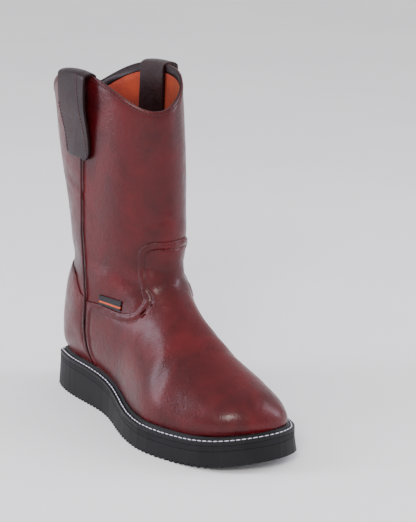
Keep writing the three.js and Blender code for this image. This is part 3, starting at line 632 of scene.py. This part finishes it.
def counter_height(distance):
    return rounded(distance, 1.4) + groove(distance, 2.2, 0.45)


def above_lip(a, b):
    """Keeps an edge unless it runs level just above the welt."""
    low = max(a.z, b.z) < 62 * MM
    return not (low and abs(a.z - b.z) < 0.7 * (a - b).length)


panel("vamp", "vamp_leather", vamp_height, (0.3, ROUNDING, 2.0, 6.6, 7.6, 8.8), (2.0, 7.6), above_lip)
panel("heel_counter", "counter_leather", counter_height, (0.3, ROUNDING, 2.2, 3.4), (2.2,), above_lip)

# %% [markdown]
# ## Side piping and pull straps
# A rolled strip of leather covers each side seam from the welt to the strap. The straps are
# doubled leather loops sewn over the collar. Their solids already have the right path, so their
# sharp edges are bevelled and the facets smoothed.

# %% Piping, straps and tag


def softened(node, width, segments, levels, angle=50):
    """A copy of a solid with its sharp edges rounded and its facets smoothed."""
    shape = merged(node)
    quads(shape)
    shape.normal_update()
    edges = [e for e in shape.edges if len(e.link_faces) == 2 and e.calc_face_angle(0) > math.radians(angle)]
    if width:
        bmesh.ops.bevel(shape, geom=edges, offset=width * MM, segments=segments, affect="EDGES",
                        profile=0.5, material=-1, clamp_overlap=True)
    return subdivided(shape, levels) if levels else shape


STRAP_CORNER = 10
STRAP_SCALE = 0.966
for side, sign in (("outer", -1), ("inner", 1)):
    finished(softened("side_piping_" + side, 0, 1, 2), "rolled_piping_" + side, piping_leather,
             ("side_piping_" + side,))
    strap = softened("pull_strap_" + side, 0.5, 2, 2)
    low = min(v.co.z for v in strap.verts)
    foot = [v.co.y for v in strap.verts if v.co.z < low + 20 * MM]
    centre_y = (min(foot) + max(foot)) / 2
    half = (max(foot) - min(foot)) / 2 / MM - 1.5
    inset = strap.verts.layers.float.new("inset")
    for vertex in strap.verts:
        across = (vertex.co.y - centre_y) / MM
        vertex[inset] = half - abs(across)
        height = min((vertex.co.z - low) / MM, STRAP_CORNER)
        narrow = half - STRAP_CORNER + math.sqrt(STRAP_CORNER ** 2 - (STRAP_CORNER - height) ** 2)
        outside = vertex.co.x * sign > 38 * MM
        if outside and vertex.co.z < low + STRAP_CORNER * MM:
            vertex.co.y = centre_y + across * narrow / half * MM
        vertex.co.z = low + (vertex.co.z - low) * STRAP_SCALE
    strap.normal_update()
    body = BVHTree.FromBMesh(strap)
    for edge_side in (-1, 1):
        run = []
        for step in range(60):
            z = low + (5 + step * 1.3) * MM
            begin = Vector((sign * 90 * MM, centre_y + edge_side * (half - 2.6) * MM, z))
            hit, out, _, _ = body.ray_cast(begin, Vector((-sign, 0, 0)))
            if hit is not None:
                run.append((hit, out))
        sew(threads, run, 3.4, 2.6, 0.8)
    finished(strap, "strap_loop_" + side, strap_leather, ("pull_strap_" + side,))
finished(threads, "upper_stitching", upper_thread)

# %% [markdown]
# ## Welt, midsole, outsole and insole
# The welt is a rubber strip sewn all round to the upper, and its white lockstitch is the
# brightest line on the boot. Midsole and outsole are moulded rubber, cut and buffed, so their
# sides are dull with a fine grit. Their solids already have the right shape, so they stay and
# take a finish, the welt's as well; a copy of the welt only places its row of stitches.

# %% Rubber


def rubber(name, dark, light, roughness, grit):
    """Moulded and buffed rubber."""
    made, tree, shader = start(name)
    place = add(tree, "TexCoord").outputs["Object"]
    speck = add(tree, "TexNoise", {"Scale": 1 / grit / MM, "Detail": 3.0}, {"Vector": place})
    dust = add(tree, "TexNoise", {"Scale": 1 / 25 / MM, "Detail": 4.0}, {"Vector": place})
    tone = add(tree, "Math", {"operation": "MULTIPLY_ADD", 1: 0.35},
               {0: speck.outputs["Fac"], 2: dust.outputs["Fac"]})
    tree.links.new(ramp(tree, tone.outputs["Value"], [(0.45, dark), (0.85, light)]), shader.inputs["Base Color"])
    bump = add(tree, "Bump", {"Strength": 0.4, "Distance": 0.15 * MM}, {"Height": speck.outputs["Fac"]})
    tree.links.new(bump.outputs["Normal"], shader.inputs["Normal"])
    shader.inputs["Roughness"].default_value = roughness
    shader.inputs["IOR"].default_value = 1.5
    shader.inputs["Specular IOR Level"].default_value = 0.25
    return made


def dressed(node, material):
    """Gives a solid that stays its finish."""
    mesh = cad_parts[node].data
    mesh.materials.clear()
    mesh.materials.append(material)


dressed("outsole", rubber("black_moulded_rubber", "#050608", "#0e0f12", 0.6, 0.9))
dressed("midsole", rubber("black_buffed_rubber", "#07080a", "#131418", 0.68, 0.6))
dressed("insole", rubber("pressed_leather_board", "#5a3a24", "#7a5236", 0.8, 1.5))
welt_rubber = rubber("black_welt_rubber", "#060709", "#101114", 0.5, 0.7)
dressed("welt", welt_rubber)

# %% Welt stitches
shape = merged("welt")
lip = BVHTree.FromBMesh(shape)
tops = {f for f in shape.faces if f.normal.z > 0.9}
edges = [e for e in shape.edges if sum(f in tops for f in e.link_faces) == 1]
outline = {}
for edge in edges:
    for vertex in edge.verts:
        outline.setdefault(vertex, []).append(edge.other_vert(vertex))
loops = []
left = set(outline)
while left:
    run = [left.pop()]
    while True:
        onward = [v for v in outline[run[-1]] if v in left]
        if not onward:
            break
        run.append(onward[0])
        left.discard(onward[0])
    loops.append(run)
loops.sort(key=lambda run: -sum((a.co - b.co).length for a, b in zip(run, run[1:])))
print("loops on the welt's top:", [len(run) for run in loops[:4]])
WELT_INSET = 2.2
points = [v.co.copy() for v in loops[0]]
points.append(points[0].copy())
middle = sum((p for p in points), Vector()) / len(points)
row = []
for before, point, after in zip(points[-2:] + points[:-2], points, points[1:] + points[1:2]):
    way = (after - before).normalized()
    inward = Vector((-way.y, way.x, 0)).normalized()
    if inward.dot(middle - point) < 0:
        inward = -inward
    place = point + inward * WELT_INSET * MM
    hit = lip.ray_cast(place + Vector((0, 0, 20 * MM)), Vector((0, 0, -1)))
    if hit[0] is not None:
        row.append((hit[0], Vector((0, 0, 1))))
white = bmesh.new()
sew(white, row, 5.0, 4.4, 1.1, 0.3)
shape.free()
finished(white, "welt_stitching", welt_thread)

# %% [markdown]
# ## Side tag
# A small woven label is caught in the quarter's edge. Real ones are damask: fine black threads
# with a coloured weft that shows in stripes. It stays plain apart from two such stripes.

# %% Tag
THREAD_PITCH = 1.0
woven, tree, shader = start("black_woven_label")
place = add(tree, "TexCoord").outputs["Object"]
level = add(tree, "SeparateXYZ", {}, {"Vector": place}).outputs["Z"]
weave = add(tree, "TexWave", {"wave_type": "BANDS", "bands_direction": "Z", "Distortion": 0.5,
                              "Scale": 1 / THREAD_PITCH / MM / 6.3}, {"Vector": place})
black = ramp(tree, weave.outputs["Fac"], [(0.2, "#0b0b0d"), (0.8, "#1c1c20")])
low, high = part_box("side_tag")
share = add(tree, "MapRange", {"From Min": low.z, "From Max": high.z}, {"Value": level}).outputs["Result"]
stripe = add(tree, "ValToRGB", {}, {"Fac": share})
band = stripe.color_ramp.elements
band[0].position, band[1].position = 0.22, 0.27
band[0].color, band[1].color = (0, 0, 0, 1), (1, 1, 1, 1)
for position, value in ((0.4, 1), (0.45, 0)):
    band.new(position).color = (value, value, value, 1)
orange = add(tree, "Mix", {"data_type": "RGBA"})
tree.links.new(stripe.outputs["Color"], orange.inputs["Factor"])
tree.links.new(black, orange.inputs[6])
orange.inputs[7].default_value = linear("#b8481c")
tree.links.new(orange.outputs[2], shader.inputs["Base Color"])
bump = add(tree, "Bump", {"Strength": 0.5, "Distance": 0.15 * MM}, {"Height": weave.outputs["Fac"]})
tree.links.new(bump.outputs["Normal"], shader.inputs["Normal"])
shader.inputs["Roughness"].default_value = 0.75
dressed("side_tag", woven)
